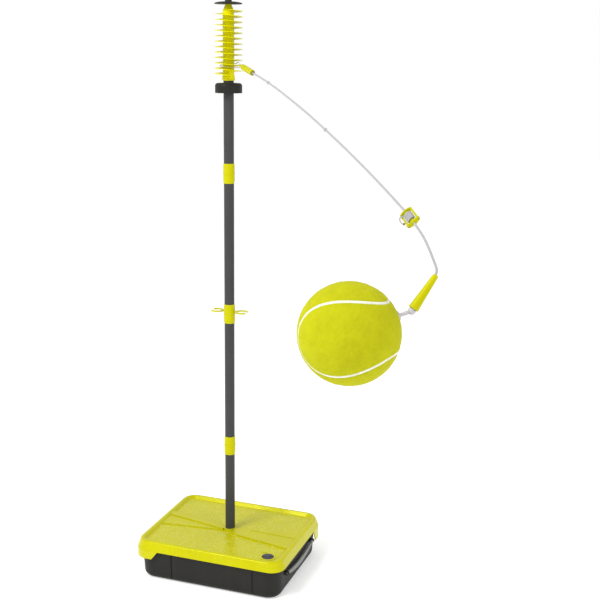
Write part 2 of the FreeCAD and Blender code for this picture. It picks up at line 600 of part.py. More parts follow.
UPPER_ROUTE = [(117.4, 0, -19.2), (196, 0, -31), (300, 0, -50.5), (405, 0, -73), (512, 0, -97.5),
               (606, 0, -121), (702, 0, -146.5), (797, 0, -173), (890, 0, -200.5), (985, 0, -229.8),
               (1078, 0, -261)]
LOWER_ROUTE = [(1118.5, 0, -278), (1140, 0, -287.5), (1161, 0, -299), (1180, 0, -313), (1196, 0.3, -328.5),
               (1207.5, 1.5, -341.5), (1214, 3, -353), (1214.9, -2.3, -364)]
WINDER_SIDE = Vector(0.28, 0.67, 0.69)
SLEEVE_TOP = Vector(1215.2, 0, -359.8)
SLEEVE_LOW = Vector(1214.1, -44.1, -421.4)
BALL_CENTRE = Vector(1182.5, -158.3, -467)


def make_link(place):
    """The moulded link: an eye ring round the wire, and a block that grips the cord's end."""
    ring = doc.addObject("Part::Torus", "eye_ring")
    bind(ring, Radius1="eye_ring_radius", Radius2="eye_ring_wire")
    ring.Placement = place
    shoulder = "link_start + shank_length"
    block = lathe("link_block", [("0", "link_start"), ("shank_radius", "link_start"),
                                 ("shank_radius", shoulder), ("link_radius - 1", shoulder),
                                 ("link_radius", f"{shoulder} + 1"), ("link_radius", "link_length - 4"),
                                 ("link_radius - 2", "link_length"), ("0", "link_length")])
    dip = math.radians(size("link_dip"))
    block.Placement = place * frame_along(Vector(math.cos(dip), 0, -math.sin(dip)), Vector(0, 1, 0))
    return fuse("link_whole", [ring, block])


def make_knot(name, place, first, last):
    """A bead on the cord's run from first to last, with the cord's own bore through it."""
    middle = (first + last) * 0.5
    axis = frame_along(last - first, Vector(0, 1, 0), middle)
    bead = Part.makeSphere(size("knot_radius"))
    bore = Part.makeCylinder(size("cord_radius"), 20, Vector(0, 0, -10))
    keep(name, solid(name + "_bead", bead.cut(bore), place * axis))


def make_winder(place):
    """The length adjuster: two end bars joined by two rods and a flat web, with spare cord on the web."""
    start, end = Vector(*UPPER_ROUTE[-1]), Vector(*LOWER_ROUTE[0])
    axis = frame_along(end - start, WINDER_SIDE, start)
    length, half, depth = (end - start).Length, size("winder_half_width"), size("winder_depth")
    flange = size("winder_flange")
    shape = Part.makeBox(2 * half, depth, flange, Vector(-half, -depth / 2, 0))
    shape = shape.fuse(Part.makeBox(2 * half, depth, flange, Vector(-half, -depth / 2, length - flange)))
    for side in (-1, 1):
        place_of_rod = Vector(side * size("winder_bar_offset"), 0, 1)
        rod = Part.makeCylinder(size("winder_bar_radius"), length - 2, place_of_rod)
        shape = shape.fuse(rod)
    web, thick = size("winder_web_half"), size("winder_web_thick")
    shape = shape.fuse(Part.makeBox(2 * web, thick, length - 2, Vector(-web, -thick / 2, 1)))
    keep("length_adjuster", solid("winder", shape.removeSplitter(), place * axis))
    wide, thick = size("wrap_half_width"), size("wrap_half_depth")
    middle = length / 2 - size("wrap_half_length")
    wraps = Part.makeBox(2 * wide, 2 * thick, 2 * size("wrap_half_length"), Vector(-wide, -thick, middle))
    upright = [edge for edge in wraps.Edges if abs(edge.tangentAt(0).z) > 0.5]
    wraps = wraps.makeFillet(thick - 0.2, upright).cut(shape)
    keep("cord_wraps", solid("wraps", wraps, place * axis))


def make_ball(place):
    axis_down = (SLEEVE_LOW - SLEEVE_TOP).normalize()
    knuckle = SLEEVE_LOW + axis_down * size("knuckle_offset")
    to_ball = (BALL_CENTRE - knuckle).normalize()
    sleeve = lathe("sleeve", [("0", "0"), ("sleeve_top_radius", "0"), ("sleeve_low_radius", "sleeve_length"),
                              ("0", "sleeve_length")])
    sleeve.Placement = place * frame_along(axis_down, Vector(1, 0, 0), SLEEVE_TOP)
    recess = Part.makeSphere(size("knuckle_radius") + size("knuckle_gap"))
    doc.recompute()
    hollow = sleeve.Shape.cut(solid_at(recess, place, knuckle))
    hollow = hollow.cut(nodes["cord_lower"].Shape)
    keep("cord_sleeve", solid("sleeve_bored", hollow))
    stem_end = size("ball_distance") - size("ball_radius") + size("stem_depth")
    stem = Part.makeCylinder(size("stem_radius"), stem_end - 5, Vector(0, 0, 5))
    head = Part.makeCylinder(size("anchor_radius"), size("anchor_thick"), Vector(0, 0, stem_end))
    keep("knuckle", solid("knuckle_bead", Part.makeSphere(size("knuckle_radius")).cut(stem),
                          place * frame_along(to_ball, Vector(0, 0, 1), knuckle)))
    keep("ball_stem", solid("stem", stem.fuse(head).removeSplitter(),
                            place * frame_along(to_ball, Vector(0, 0, 1), knuckle)))
    at_ball = place * frame_along(to_ball * -1, Vector(0, 0, 1), knuckle + to_ball * size("ball_distance"))
    radius, felt, wall = size("ball_radius"), size("felt_thickness"), size("bladder_wall")
    head_low = radius - size("stem_depth") - size("anchor_thick")
    way = Part.makeCylinder(size("stem_radius") + size("stem_clearance"), radius - head_low,
                            Vector(0, 0, head_low))
    pocket = Part.makeCylinder(size("anchor_radius") + size("anchor_gap"),
                               size("anchor_thick") + 2 * size("anchor_gap"),
                               Vector(0, 0, head_low - size("anchor_gap")))
    inside = Part.makeSphere(radius - felt)
    boss_depth = size("boss_depth")
    boss = Part.makeCylinder(size("boss_radius"), boss_depth, Vector(0, 0, radius - boss_depth))
    bladder = inside.cut(Part.makeSphere(radius - felt - wall)).fuse(boss.common(inside)).removeSplitter()
    keep("ball_bladder", solid("bladder", bladder.cut(way).cut(pocket), at_ball))
    keep("ball_felt", solid("felt", Part.makeSphere(radius).cut(inside).cut(way), at_ball))


def solid_at(shape, place, point):
    moved = shape.copy()
    moved.Placement = place * Placement(point, Rotation())
    return moved


def make_tether():
    place = tether_frame()
    upper = [Vector(*point) for point in UPPER_ROUTE]
    lower = [Vector(*point) for point in LOWER_ROUTE]
    radius = size("cord_radius")
    upper_cord = keep("cord_upper", solid("upper_cord", tangent_tube("cord_upper", upper, radius), place))
    keep("cord_lower", solid("lower_cord", tangent_tube("cord_lower", lower, radius), place))
    link = make_link(place)
    doc.recompute()
    keep("cord_link", cut("link_bored", link, [upper_cord]))
    make_knot("cord_knot_1", place, upper[1], upper[2])
    make_knot("cord_knot_2", place, upper[5], upper[6])
    make_winder(place)
    make_ball(place)


make_tray()
make_handle()
make_lid()
make_tank()
make_filler_cap()
make_mast()
make_spindle()
make_top()
make_wire_loop()
make_tether()
doc.recompute()

failed = [item.Label for item in doc.Objects if "Invalid" in item.State or "Error" in item.State]
failed += [label for label, item in nodes.items() if item.Shape.isNull() or not item.Shape.isValid()]
if failed:
    raise RuntimeError(f"not built: {failed}")
for label, item in nodes.items():
    bounds = item.Shape.BoundBox
    print(f"{label}: solids {len(item.Shape.Solids)}, volume {item.Shape.Volume / 1000:.1f} cm3, "
          f"z {bounds.ZMin:.1f} to {bounds.ZMax:.1f}")
    item.Shape.exportStep(f"parts/{label}.step")
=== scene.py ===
"""Looks of the tetherball set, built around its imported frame. Metres, +Z up, origin under the mast."""
import math
import random

import bmesh
import bpy
import numpy as np
from mathutils import Matrix, Vector


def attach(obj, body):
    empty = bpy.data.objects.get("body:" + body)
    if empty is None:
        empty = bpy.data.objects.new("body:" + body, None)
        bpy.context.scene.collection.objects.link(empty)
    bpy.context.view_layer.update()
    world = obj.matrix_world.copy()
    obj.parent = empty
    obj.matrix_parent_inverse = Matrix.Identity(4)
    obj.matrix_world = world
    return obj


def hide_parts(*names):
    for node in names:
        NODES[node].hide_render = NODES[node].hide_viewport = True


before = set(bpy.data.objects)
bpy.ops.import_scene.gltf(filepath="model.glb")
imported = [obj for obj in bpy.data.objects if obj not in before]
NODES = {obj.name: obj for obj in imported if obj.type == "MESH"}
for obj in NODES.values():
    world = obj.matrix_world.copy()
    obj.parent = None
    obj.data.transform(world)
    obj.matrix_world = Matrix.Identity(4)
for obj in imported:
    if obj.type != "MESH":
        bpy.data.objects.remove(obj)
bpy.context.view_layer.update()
CAMERA_PLACE = (1.21943, -2.83821, 1.59442)
LID_FLOOR = 0.1168


# --- camera ----------------------------------------------------------------------------------------
def make_camera():
    heading, dip, roll = 0.3370, 0.2325, 0.0122
    ahead = Vector((-math.sin(heading) * math.cos(dip), math.cos(heading) * math.cos(dip), -math.sin(dip)))
    right = Vector((math.cos(heading), math.sin(heading), 0))
    up = right.cross(ahead)
    right, up = right * math.cos(roll) + up * math.sin(roll), up * math.cos(roll) - right * math.sin(roll)
    data = bpy.data.cameras.new("camera")
    data.sensor_width = 36
    data.lens = 63.156
    data.clip_end = 60
    camera = bpy.data.objects.new("camera", data)
    bpy.context.collection.objects.link(camera)
    turn = Matrix((right, up, -ahead)).transposed().to_4x4()
    camera.matrix_world = Matrix.Translation(CAMERA_PLACE) @ turn
    bpy.context.scene.camera = camera
    bpy.context.scene.view_settings.view_transform = "Standard"


# --- node materials --------------------------------------------------------------------------------
class Shader:
    """A material's node tree, with short calls for the nodes it needs."""

    def __init__(self, name, color=(0.8, 0.8, 0.8), rough=0.5, metal=0.0, coat=0.0, sheen=0.0, ior=1.45,
                 specular=0.5, subsurface=0.0):
        self.material = bpy.data.materials.new(name)
        self.material.use_nodes = True
        self.tree = self.material.node_tree
        self.bsdf = self.tree.nodes["Principled BSDF"]
        values = {"Base Color": (*color, 1), "Roughness": rough, "Metallic": metal, "Coat Weight": coat,
                  "Coat Roughness": 0.08, "Sheen Weight": sheen, "Sheen Roughness": 0.4, "IOR": ior,
                  "Specular IOR Level": specular, "Subsurface Weight": subsurface}
        for socket, value in values.items():
            self.bsdf.inputs[socket].default_value = value
        self.where = self.node("ShaderNodeTexCoord").outputs["Object"]
        self.normal = None

    def node(self, kind, **inputs):
        item = self.tree.nodes.new(kind)
        for key, value in inputs.items():
            key = key.replace("_", " ")
            if hasattr(value, "is_linked"):
                self.tree.links.new(value, item.inputs[key])
            else:
                item.inputs[key].default_value = value
        return item

    def noise(self, scale, detail=3.0, rough=0.55, where=None, stretch=None):
        """A noise value from 0 to 1. The scale is in cells a metre."""
        where = where or self.where
        if stretch:
            where = self.stretched(stretch, where)
        return self.node("ShaderNodeTexNoise", Vector=where, Scale=scale, Detail=detail,
                         Roughness=rough).outputs["Fac"]

    def stretched(self, scale, where=None, turn=(0, 0, 0)):
        return self.node("ShaderNodeMapping", Vector=where or self.where, Scale=scale,
                         Rotation=turn).outputs[0]

    def voronoi(self, scale, where=None):
        return self.node("ShaderNodeTexVoronoi", Vector=where or self.where, Scale=scale).outputs["Distance"]

    def math(self, kind, first, second=0.0):
        item = self.tree.nodes.new("ShaderNodeMath")
        item.operation = kind
        for index, value in enumerate((first, second)):
            if hasattr(value, "is_linked"):
                self.tree.links.new(value, item.inputs[index])
            else:
                item.inputs[index].default_value = value
        return item.outputs[0]

    def span(self, value, low, high, to_low=0.0, to_high=1.0):
        item = self.node("ShaderNodeMapRange", Value=value)
        for key, number in (("From Min", low), ("From Max", high), ("To Min", to_low), ("To Max", to_high)):
            item.inputs[key].default_value = number
        return item.outputs[0]

    def mix(self, share, first, second):
        """A colour between two colours, each three numbers or a socket."""
        item = self.tree.nodes.new("ShaderNodeMix")
        item.data_type = "RGBA"
        for index, value in ((0, share), (6, first), (7, second)):
            if hasattr(value, "is_linked"):
                self.tree.links.new(value, item.inputs[index])
            elif index:
                item.inputs[index].default_value = (*value, 1)
            else:
                item.inputs[index].default_value = value
        return item.outputs[2]

    def split(self):
        item = self.tree.nodes.new("ShaderNodeSeparateXYZ")
        self.tree.links.new(self.where, item.inputs[0])
        return item.outputs

    def color(self, value):
        self.tree.links.new(value, self.bsdf.inputs["Base Color"])
        return self

    def rough(self, value):
        self.tree.links.new(value, self.bsdf.inputs["Roughness"])
        return self

    def bump(self, height, depth, strength=1.0):
        """Raise the surface by height, a value from 0 to 1, times depth in metres. Bumps add up."""
        item = self.node("ShaderNodeBump", Height=height, Distance=depth, Strength=strength)
        if self.normal:
            self.tree.links.new(self.normal, item.inputs["Normal"])
        self.normal = item.outputs[0]
        self.tree.links.new(self.normal, self.bsdf.inputs["Normal"])
        return self

    def edge_wear(self):
        """1 on sharp outer edges and 0 elsewhere."""
        point = self.node("ShaderNodeNewGeometry").outputs["Pointiness"]
        return self.span(point, 0.52, 0.60)


def moulded(name, color, shade, pale, rough=0.28, coat=0.0, grain=0.00002, specular=0.5, wear=0.12):
    """Injection-moulded plastic: faint flow streaks, handling marks, a fine skin and scuffed edges."""
    s = Shader(name, color, rough, coat=coat, specular=specular)
    cloud = s.noise(9, 4)
    streak = s.noise(30, 3, stretch=(1, 1, 0.15))
    tone = s.mix(s.span(cloud, 0.35, 0.68), shade, color)
    tone = s.mix(s.math("MULTIPLY", s.span(streak, 0.5, 0.75), 0.12), tone, pale)
    tone = s.mix(s.math("MULTIPLY", s.edge_wear(), wear), tone, pale)
    s.color(tone)
    marks = s.noise(140, 2, stretch=(1, 3, 1))
    s.rough(s.math("ADD", s.span(marks, 0.3, 0.75, rough - 0.05, rough + 0.1),
                   s.span(cloud, 0.3, 0.7, 0, 0.06)))
    s.bump(s.noise(900, 2), grain, 0.6)
    s.bump(cloud, 0.0004, 0.25)
    return s


YELLOW, YELLOW_DEEP, YELLOW_PALE = (0.515, 0.495, 0.002), (0.485, 0.465, 0.002), (0.62, 0.595, 0.04)
YELLOW_GLINT = (1, 0.95, 0.15, 1)


def make_yellow():
    s = moulded("yellow_plastic", YELLOW, YELLOW_DEEP, YELLOW_PALE, rough=0.3, specular=0.3)
    s.bsdf.inputs["Specular Tint"].default_value = YELLOW_GLINT
    return s.material


def make_helix_material():
    """The spindle's yellow, brighter so that the light between its flights comes back."""
    s = moulded("helix_plastic", (0.74, 0.70, 0.003), (0.70, 0.665, 0.003), (0.78, 0.74, 0.02), rough=0.35,
                specular=0.3, wear=0.0)
    s.bsdf.inputs["Specular Tint"].default_value = YELLOW_GLINT
    return s.material


def make_lid_material():
    """The lid's yellow, with a fine dot grid moulded into its flat top outside the raised wedges, and the
    dots painted a paler yellow as a painted highlight.
    """
    s = moulded("lid_plastic", (0.54, 0.52, 0.002), (0.505, 0.485, 0.002), YELLOW_PALE, rough=0.2,
                specular=0.6)
    s.bsdf.inputs["Specular Tint"].default_value = YELLOW_GLINT
    grid = s.voronoi(135, where=s.stretched((1, 1, 0.02), turn=(0, 0, math.radians(45))))
    height = s.split()[2]
    level = s.math("LESS_THAN", s.math("ABSOLUTE", s.math("SUBTRACT", height, LID_FLOOR)), 0.0004)
    dot_relief_and_highlight = s.math("MULTIPLY", s.span(grid, 0.18, 0.34, 1, 0), level)
    s.bump(dot_relief_and_highlight, 0.00035, 0.8)
    base = s.bsdf.inputs["Base Color"].links[0].from_socket
    # painted highlight: the dots are painted pale yellow to stand in for the sheen they catch
    s.color(s.mix(s.math("MULTIPLY", dot_relief_and_highlight, 0.6), base, (0.80, 0.78, 0.28)))
    return s.material


def make_dark():
    """Textured black-brown polypropylene with a spark-eroded grain."""
    s = moulded("dark_plastic", (0.015, 0.0145, 0.012), (0.012, 0.0115, 0.0095), (0.035, 0.034, 0.03),
                rough=0.45, grain=0.00005, specular=0.22)
    s.bump(s.voronoi(1400), 0.00004, 0.5)
    return s.material


def make_mast():
    """Powder-coated steel: orange peel, faint vertical rubs and dull dust."""
    s = Shader("mast_paint", (0.046, 0.046, 0.046), 0.45, specular=0.25)
    peel = s.noise(450, 2)
    rub = s.noise(60, 4, stretch=(1, 1, 0.06))
    dust = s.noise(7, 5)
    tone = s.mix(s.span(dust, 0.35, 0.7), (0.042, 0.042, 0.0425), (0.05, 0.05, 0.0505))
    tone = s.mix(s.math("MULTIPLY", s.span(rub, 0.55, 0.75), 0.3), tone, (0.07, 0.07, 0.07))
    s.color(tone)
    s.rough(s.span(s.math("ADD", peel, rub), 0.7, 1.3, 0.34, 0.5))
    s.bump(peel, 0.00008, 0.5)
    return s.material


def make_steel():
    s = Shader("wire_steel", (0.60, 0.60, 0.61), 0.25, metal=1.0)
    drawn = s.noise(2500, 3, stretch=(1, 1, 0.1))
    s.color(s.mix(s.span(s.noise(300, 3), 0.4, 0.7), (0.5, 0.5, 0.52), (0.68, 0.68, 0.68)))
    s.rough(s.span(drawn, 0.3, 0.7, 0.18, 0.36))
    s.bump(drawn, 0.00002, 0.5)
    return s.material


def make_cord_material():
    """White cord fabric: fine fibres over a coarser lay, with faint grime."""
    s = Shader("cord_fabric", (0.42, 0.42, 0.43), 0.8, sheen=0.1, specular=0.2)
    fibres = s.noise(6000, 3)
    lay = s.noise(1500, 2, stretch=(1, 1, 1))
    grime = s.noise(25, 3)
    tone = s.mix(s.span(fibres, 0.35, 0.7), (0.32, 0.315, 0.33), (0.52, 0.515, 0.53))
    tone = s.mix(s.math("MULTIPLY", s.span(grime, 0.5, 0.8), 0.3), tone, (0.36, 0.355, 0.34))
    s.color(tone)
    s.bump(lay, 0.0002, 0.5)
    s.bump(fibres, 0.0001, 0.5)
    return s.material


def make_white():
    return moulded("white_plastic", (0.56, 0.54, 0.59), (0.50, 0.48, 0.53), (0.70, 0.69, 0.72),
                   rough=0.3).material


def make_grey():
    return moulded("grey_plastic", (0.075, 0.075, 0.085), (0.06, 0.06, 0.07), (0.16, 0.16, 0.18), rough=0.38,
                   specular=0.35).material


def make_handle_plastic():
    return moulded("handle_plastic", (0.20, 0.20, 0.19), (0.175, 0.175, 0.165), (0.3, 0.3, 0.29), rough=0.4,
                   specular=0.3).material


def make_tank():
    return moulded("tank_plastic", (0.45, 0.45, 0.42), (0.4, 0.4, 0.37), (0.6, 0.6, 0.58), rough=0.5,
                   grain=0.00006).material


def make_rubber(name, color):
    s = Shader(name, color, 0.7)
    bloom = s.noise(20, 4)
    s.color(s.mix(s.span(bloom, 0.4, 0.7), color, tuple(1.5 * c + 0.01 for c in color)))
    s.rough(s.span(bloom, 0.3, 0.7, 0.6, 0.8))
    s.bump(s.noise(1200, 3), 0.00005, 0.5)
    return s.material


def make_felt():
    """Napped felt: tangled pale fibres over a deeper ground, with soft clumps."""
    s = Shader("ball_felt", (0.45, 0.45, 0.002), 0.9, sheen=0.12, specular=0.08)
    s.bsdf.inputs["Sheen Tint"].default_value = (0.9, 0.9, 0.2, 1)
    clump = s.noise(45, 5, 0.6)
    swirl = s.node("ShaderNodeTexNoise", Vector=s.where, Scale=60.0, Detail=3.0,
                   Distortion=1.6).outputs["Fac"]
    fibre = s.node("ShaderNodeTexNoise", Vector=s.where, Scale=420.0, Detail=5.0, Roughness=0.7,
                   Distortion=2.4).outputs["Fac"]
    hair = s.span(s.math("ABSOLUTE", s.math("SUBTRACT", fibre, 0.5)), 0.0, 0.09, 1, 0)
    tone = s.mix(s.span(clump, 0.3, 0.7), (0.40, 0.405, 0.0015), (0.475, 0.475, 0.003))
    tone = s.mix(s.math("MULTIPLY", s.span(swirl, 0.45, 0.75), 0.3), tone, (0.52, 0.52, 0.01))
    tone = s.mix(s.math("MULTIPLY", hair, 0.22), tone, (0.60, 0.60, 0.05))
    s.color(tone)
    s.bump(clump, 0.0022, 0.5)
    s.bump(swirl, 0.0012, 0.6)
    s.bump(fibre, 0.0006, 0.8)
    return s.material


def make_seam_material():
    s = Shader("seam_rubber", (0.72, 0.73, 0.66), 0.65)
    grime = s.noise(120, 4)
    s.color(s.mix(s.span(grime, 0.4, 0.75), (0.78, 0.79, 0.74), (0.60, 0.62, 0.42)))
    s.bump(s.noise(800, 3), 0.0001, 0.6)
    return s.material


# --- mesh helpers ----------------------------------------------------------------------------------
def add_mesh(name, verts, faces, material, body, replaced=()):
    """A mesh piece that rides on a body, and stands for the CAD nodes in replaced."""
    mesh = bpy.data.meshes.new(name)
    mesh.from_pydata([tuple(v) for v in verts], [], faces)
    mesh.validate()
    mesh.shade_smooth()
    mesh.materials.append(material)
    return adopt(bpy.data.objects.new(name, mesh), body, replaced)


def adopt(item, body, replaced=()):
    bpy.context.collection.objects.link(item)
    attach(item, body)
    if replaced:
        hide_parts(*replaced)
    return item


def soften(item, angle=35):
    """Split normals at edges sharper than angle."""
    mesh = bmesh.new()
    mesh.from_mesh(item.data)
    bmesh.ops.recalc_face_normals(mesh, faces=mesh.faces)
    for edge in mesh.edges:
        edge.smooth = len(edge.link_faces) == 2 and edge.calc_face_angle() < math.radians(angle)
    mesh.to_mesh(item.data)
    mesh.free()
    return item


def basis(axis, hint):
    """Two directions square to axis, the first as near as can be to hint."""
    axis = Vector(axis).normalized()
    side = (Vector(hint) - axis * axis.dot(Vector(hint))).normalized()
    return side, axis.cross(side)


def lathe(name, profile, origin, axis, hint, material, body, replaced=(), steps=64, flute=None):
    """A closed turned solid about an axis. flute(angle, place) scales the radius round the turn."""
    side, other = basis(axis, hint)
    axis, origin = Vector(axis).normalized(), Vector(origin)
    verts, faces, rings = [], [], []
    for index, (radius, along) in enumerate(profile):
        if radius < 1e-7:
            rings.append([len(verts)])
            verts.append(origin + axis * along)
            continue
        ring = []
        for step in range(steps):
            angle = 2 * math.pi * step / steps
            size = radius * (flute(angle, along) if flute else 1)
            ring.append(len(verts))
            verts.append(origin + axis * along + (side * math.cos(angle) + other * math.sin(angle)) * size)
        rings.append(ring)
    for low, high in zip(rings, rings[1:]):
        for step in range(steps):
            a, b = low[step % len(low)], low[(step + 1) % len(low)]
            c, d = high[(step + 1) % len(high)], high[step % len(high)]
            face = list(dict.fromkeys((a, b, c, d)))
            if len(face) > 2:
                faces.append(face)
    if len(rings[0]) > 1 and rings[0] is not rings[-1]:
        if (Vector(profile[0]) - Vector(profile[-1])).length < 1e-7:
            merge = dict(zip(rings[-1], rings[0]))
            faces = [[merge.get(v, v) for v in face] for face in faces]
            verts = verts[:rings[-1][0]]
    return soften(add_mesh(name, verts, faces, material, body, replaced), 50)


def arc_points(radius, along, turn, start, end, count=6):
    """Profile points on a rounded edge, centred at (radius, along); angles in degrees."""
    return [(radius + turn * math.cos(math.radians(start + (end - start) * i / count)),
             along + turn * math.sin(math.radians(start + (end - start) * i / count)))
            for i in range(count + 1)]


def curve_piece(name, points, radius, material, body, replaced=(), closed=False):
    """A round strand on a smooth spline with the given control points."""
    data = bpy.data.curves.new(name, "CURVE")
    data.dimensions = "3D"
    data.bevel_depth = radius
    data.bevel_resolution = 5
    data.resolution_u = 10
    data.use_fill_caps = True
    data.twist_mode = "MINIMUM"
    spline = data.splines.new("NURBS")
    spline.points.add(len(points) - 1)
    for point, place in zip(spline.points, points):
        point.co = (*place, 1)
    spline.order_u = 3
    spline.use_endpoint_u = not closed
    spline.use_cyclic_u = closed
    data.materials.append(material)
    return adopt(bpy.data.objects.new(name, data), body, replaced)


# --- the tether's own frame, as in part.py ---------------------------------------------------------
EYE_ANGLE, TETHER_ANGLE = math.radians(-27), math.radians(-50)
EYE = Vector((0.050 * math.cos(EYE_ANGLE), 0.050 * math.sin(EYE_ANGLE), 1.552833))
UPPER_ROUTE = [(117.4, 0, -19.2), (196, 0, -31), (300, 0, -50.5), (405, 0, -73), (512, 0, -97.5),
               (606, 0, -121), (702, 0, -146.5), (797, 0, -173), (890, 0, -200.5), (985, 0, -229.8),
               (1078, 0, -261)]
LOWER_ROUTE = [(1118.5, 0, -278), (1140, 0, -287.5), (1161, 0, -299), (1180, 0, -313), (1196, 0.3, -328.5),
               (1207.5, 1.5, -341.5), (1214, 3, -353), (1214.9, -2.3, -364)]
WINDER_SIDE = (0.28, 0.67, 0.69)
SLEEVE_TOP, SLEEVE_LOW = (1215.2, 0, -359.8), (1214.1, -44.1, -421.4)
BALL_LOCAL = (1182.5, -158.3, -467)


def turned(v):
    """A direction of the tether's frame, in the row frame."""
    c, s = math.cos(TETHER_ANGLE), math.sin(TETHER_ANGLE)
    return Vector((c * v[0] - s * v[1], s * v[0] + c * v[1], v[2]))


def placed(point):
    """A point of the tether's frame, given in millimetres, in the row frame in metres."""
    return EYE + turned(point) * 0.001


CORD_RADIUS = 0.0024
SLEEVE_AXIS = (placed(SLEEVE_LOW) - placed(SLEEVE_TOP)).normalized()
KNUCKLE = placed(SLEEVE_LOW) + SLEEVE_AXIS * 0.0044
STEM_AXIS = (placed(BALL_LOCAL) - KNUCKLE).normalized()
BALL = KNUCKLE + STEM_AXIS * 0.1235
BALL_RADIUS = 0.0976


def make_cords(cord):
    """The two lengths of cord, the knots on the upper one, and the spare length on the adjuster."""
    upper = curve_piece("upper_cord_line", [placed(p) for p in UPPER_ROUTE], CORD_RADIUS, cord, "tether",
                        ("cord_upper",))
    lower = curve_piece("lower_cord_line", [placed(p) for p in LOWER_ROUTE], CORD_RADIUS, cord, "tether",
                        ("cord_lower",))
    knots = []
    for index, first in enumerate((1, 5), start=1):
        start, end = placed(UPPER_ROUTE[first]), placed(UPPER_ROUTE[first + 1])
        axis = (end - start).normalized()
        side, other = basis(axis, (0, 0, 1))
        middle, loops = (start + end) / 2, []
        for step in range(30):
            angle = 2 * math.pi * step / 30
            ring = 0.0027 * (1 + 0.12 * math.cos(3 * angle))
            loops.append(middle + (side * math.cos(2 * angle) + other * math.sin(2 * angle)) * ring
                         + axis * 0.0019 * math.sin(3 * angle))
        knots.append(curve_piece(f"knot_{index}", loops, 0.0015, cord, "tether",
                                 (f"cord_knot_{index}",), closed=True))
    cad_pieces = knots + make_adjuster(cord)


def make_adjuster(cord):
    """Two bowed end bars on two rods and a web, the spare cord wound on the web, and its free end's loop."""
    start, end = placed(UPPER_ROUTE[-1]), placed(LOWER_ROUTE[0])
    axis = (end - start).normalized()
    side, thick = basis(axis, turned(WINDER_SIDE))
    length = (end - start).length
    verts, faces = [], []

    def bar(half, place, bow, depth, height):
        """A bowed, tapering bar square to the rods, with rounded section."""
        rings, count = 28, 12
        base = len(verts)
        for i in range(rings + 1):
            share = -1 + 2 * i / rings
            slim = (1 - abs(share) ** 6) ** 0.5 * (1 - 0.25 * share * share)
            for j in range(count):
                turn = 2 * math.pi * j / count
                verts.append(start + side * (half * share)
                             + axis * (place + bow * (1 - share * share) + height / 2 * slim * math.sin(turn))
                             + thick * (depth / 2 * slim * math.cos(turn)))
        for i in range(rings):
            for j in range(count):
                a, b = base + i * count + j, base + i * count + (j + 1) % count
                faces.append((a, b, b + count, a + count))

    def rod(offset, radius):
        count, rings = 14, 8
        base = len(verts)
        for i in range(rings + 1):
            along = 0.001 + (length - 0.002) * i / rings
            for j in range(count):
                turn = 2 * math.pi * j / count
                verts.append(start + axis * along + side * (offset + radius * math.cos(turn))
                             + thick * radius * math.sin(turn))
        for i in range(rings):
            for j in range(count):
                a, b = base + i * count + j, base + i * count + (j + 1) % count
                faces.append((a, b, b + count, a + count))

    bar(0.0150, 0.0050, -0.0030, 0.0120, 0.0052)
    bar(0.0160, length - 0.0058, 0.0035, 0.0125, 0.0056)
    rod(-0.0120, 0.0022)
    rod(0.0120, 0.0022)
    base = len(verts)
    for along in (0.003, length - 0.003):
        for across, deep in ((-0.004, -0.0012), (0.004, -0.0012), (0.004, 0.0012), (-0.004, 0.0012)):
            verts.append(start + axis * along + side * across + thick * deep)
    faces += [tuple(base + i for i in face) for face in
              ((0, 1, 2, 3), (4, 5, 6, 7), (0, 1, 5, 4), (1, 2, 6, 5), (2, 3, 7, 6), (3, 0, 4, 7))]
    frame_piece = soften(add_mesh("adjuster_frame", verts, faces, MATERIALS["yellow"], "tether",
                                  ("length_adjuster",)), 60)
    wraps, turns, around = [], 5, 14
    random.seed(4)
    for step in range(turns * around + 1):
        share = step / (turns * around)
        angle = 2 * math.pi * step / around
        wobble = 0.0003 * random.uniform(-1, 1)
        wide = 0.0070 * math.copysign(abs(math.cos(angle)) ** 0.8, math.cos(angle))
        wraps.append(start + axis * (length / 2 - 0.0105 + 0.021 * share + wobble) + side * wide
                     + thick * (0.0042 * math.sin(angle)))
    coil = curve_piece("wound_cord", wraps, 0.0021, cord, "tether", ("cord_wraps",))
    tail = [start + axis * a + side * b + thick * c for a, b, c in (
        (0.012, -0.0080, 0.004), (0.010, -0.0130, 0.006), (0.012, -0.0180, 0.005), (0.019, -0.0195, 0.003),
        (0.025, -0.0185, 0.002), (0.028, -0.0165, 0.002))]
    loop = curve_piece("free_end", tail, 0.0013, cord, "tether")
    bead = lathe("free_end_bead", [(0, -0.0024)] + arc_points(0, 0, 0.0024, -75, 75, 8) + [(0, 0.0024)],
                 tail[-1], axis, side, MATERIALS["link"], "tether", steps=20)
    return [frame_piece, coil, loop, bead]


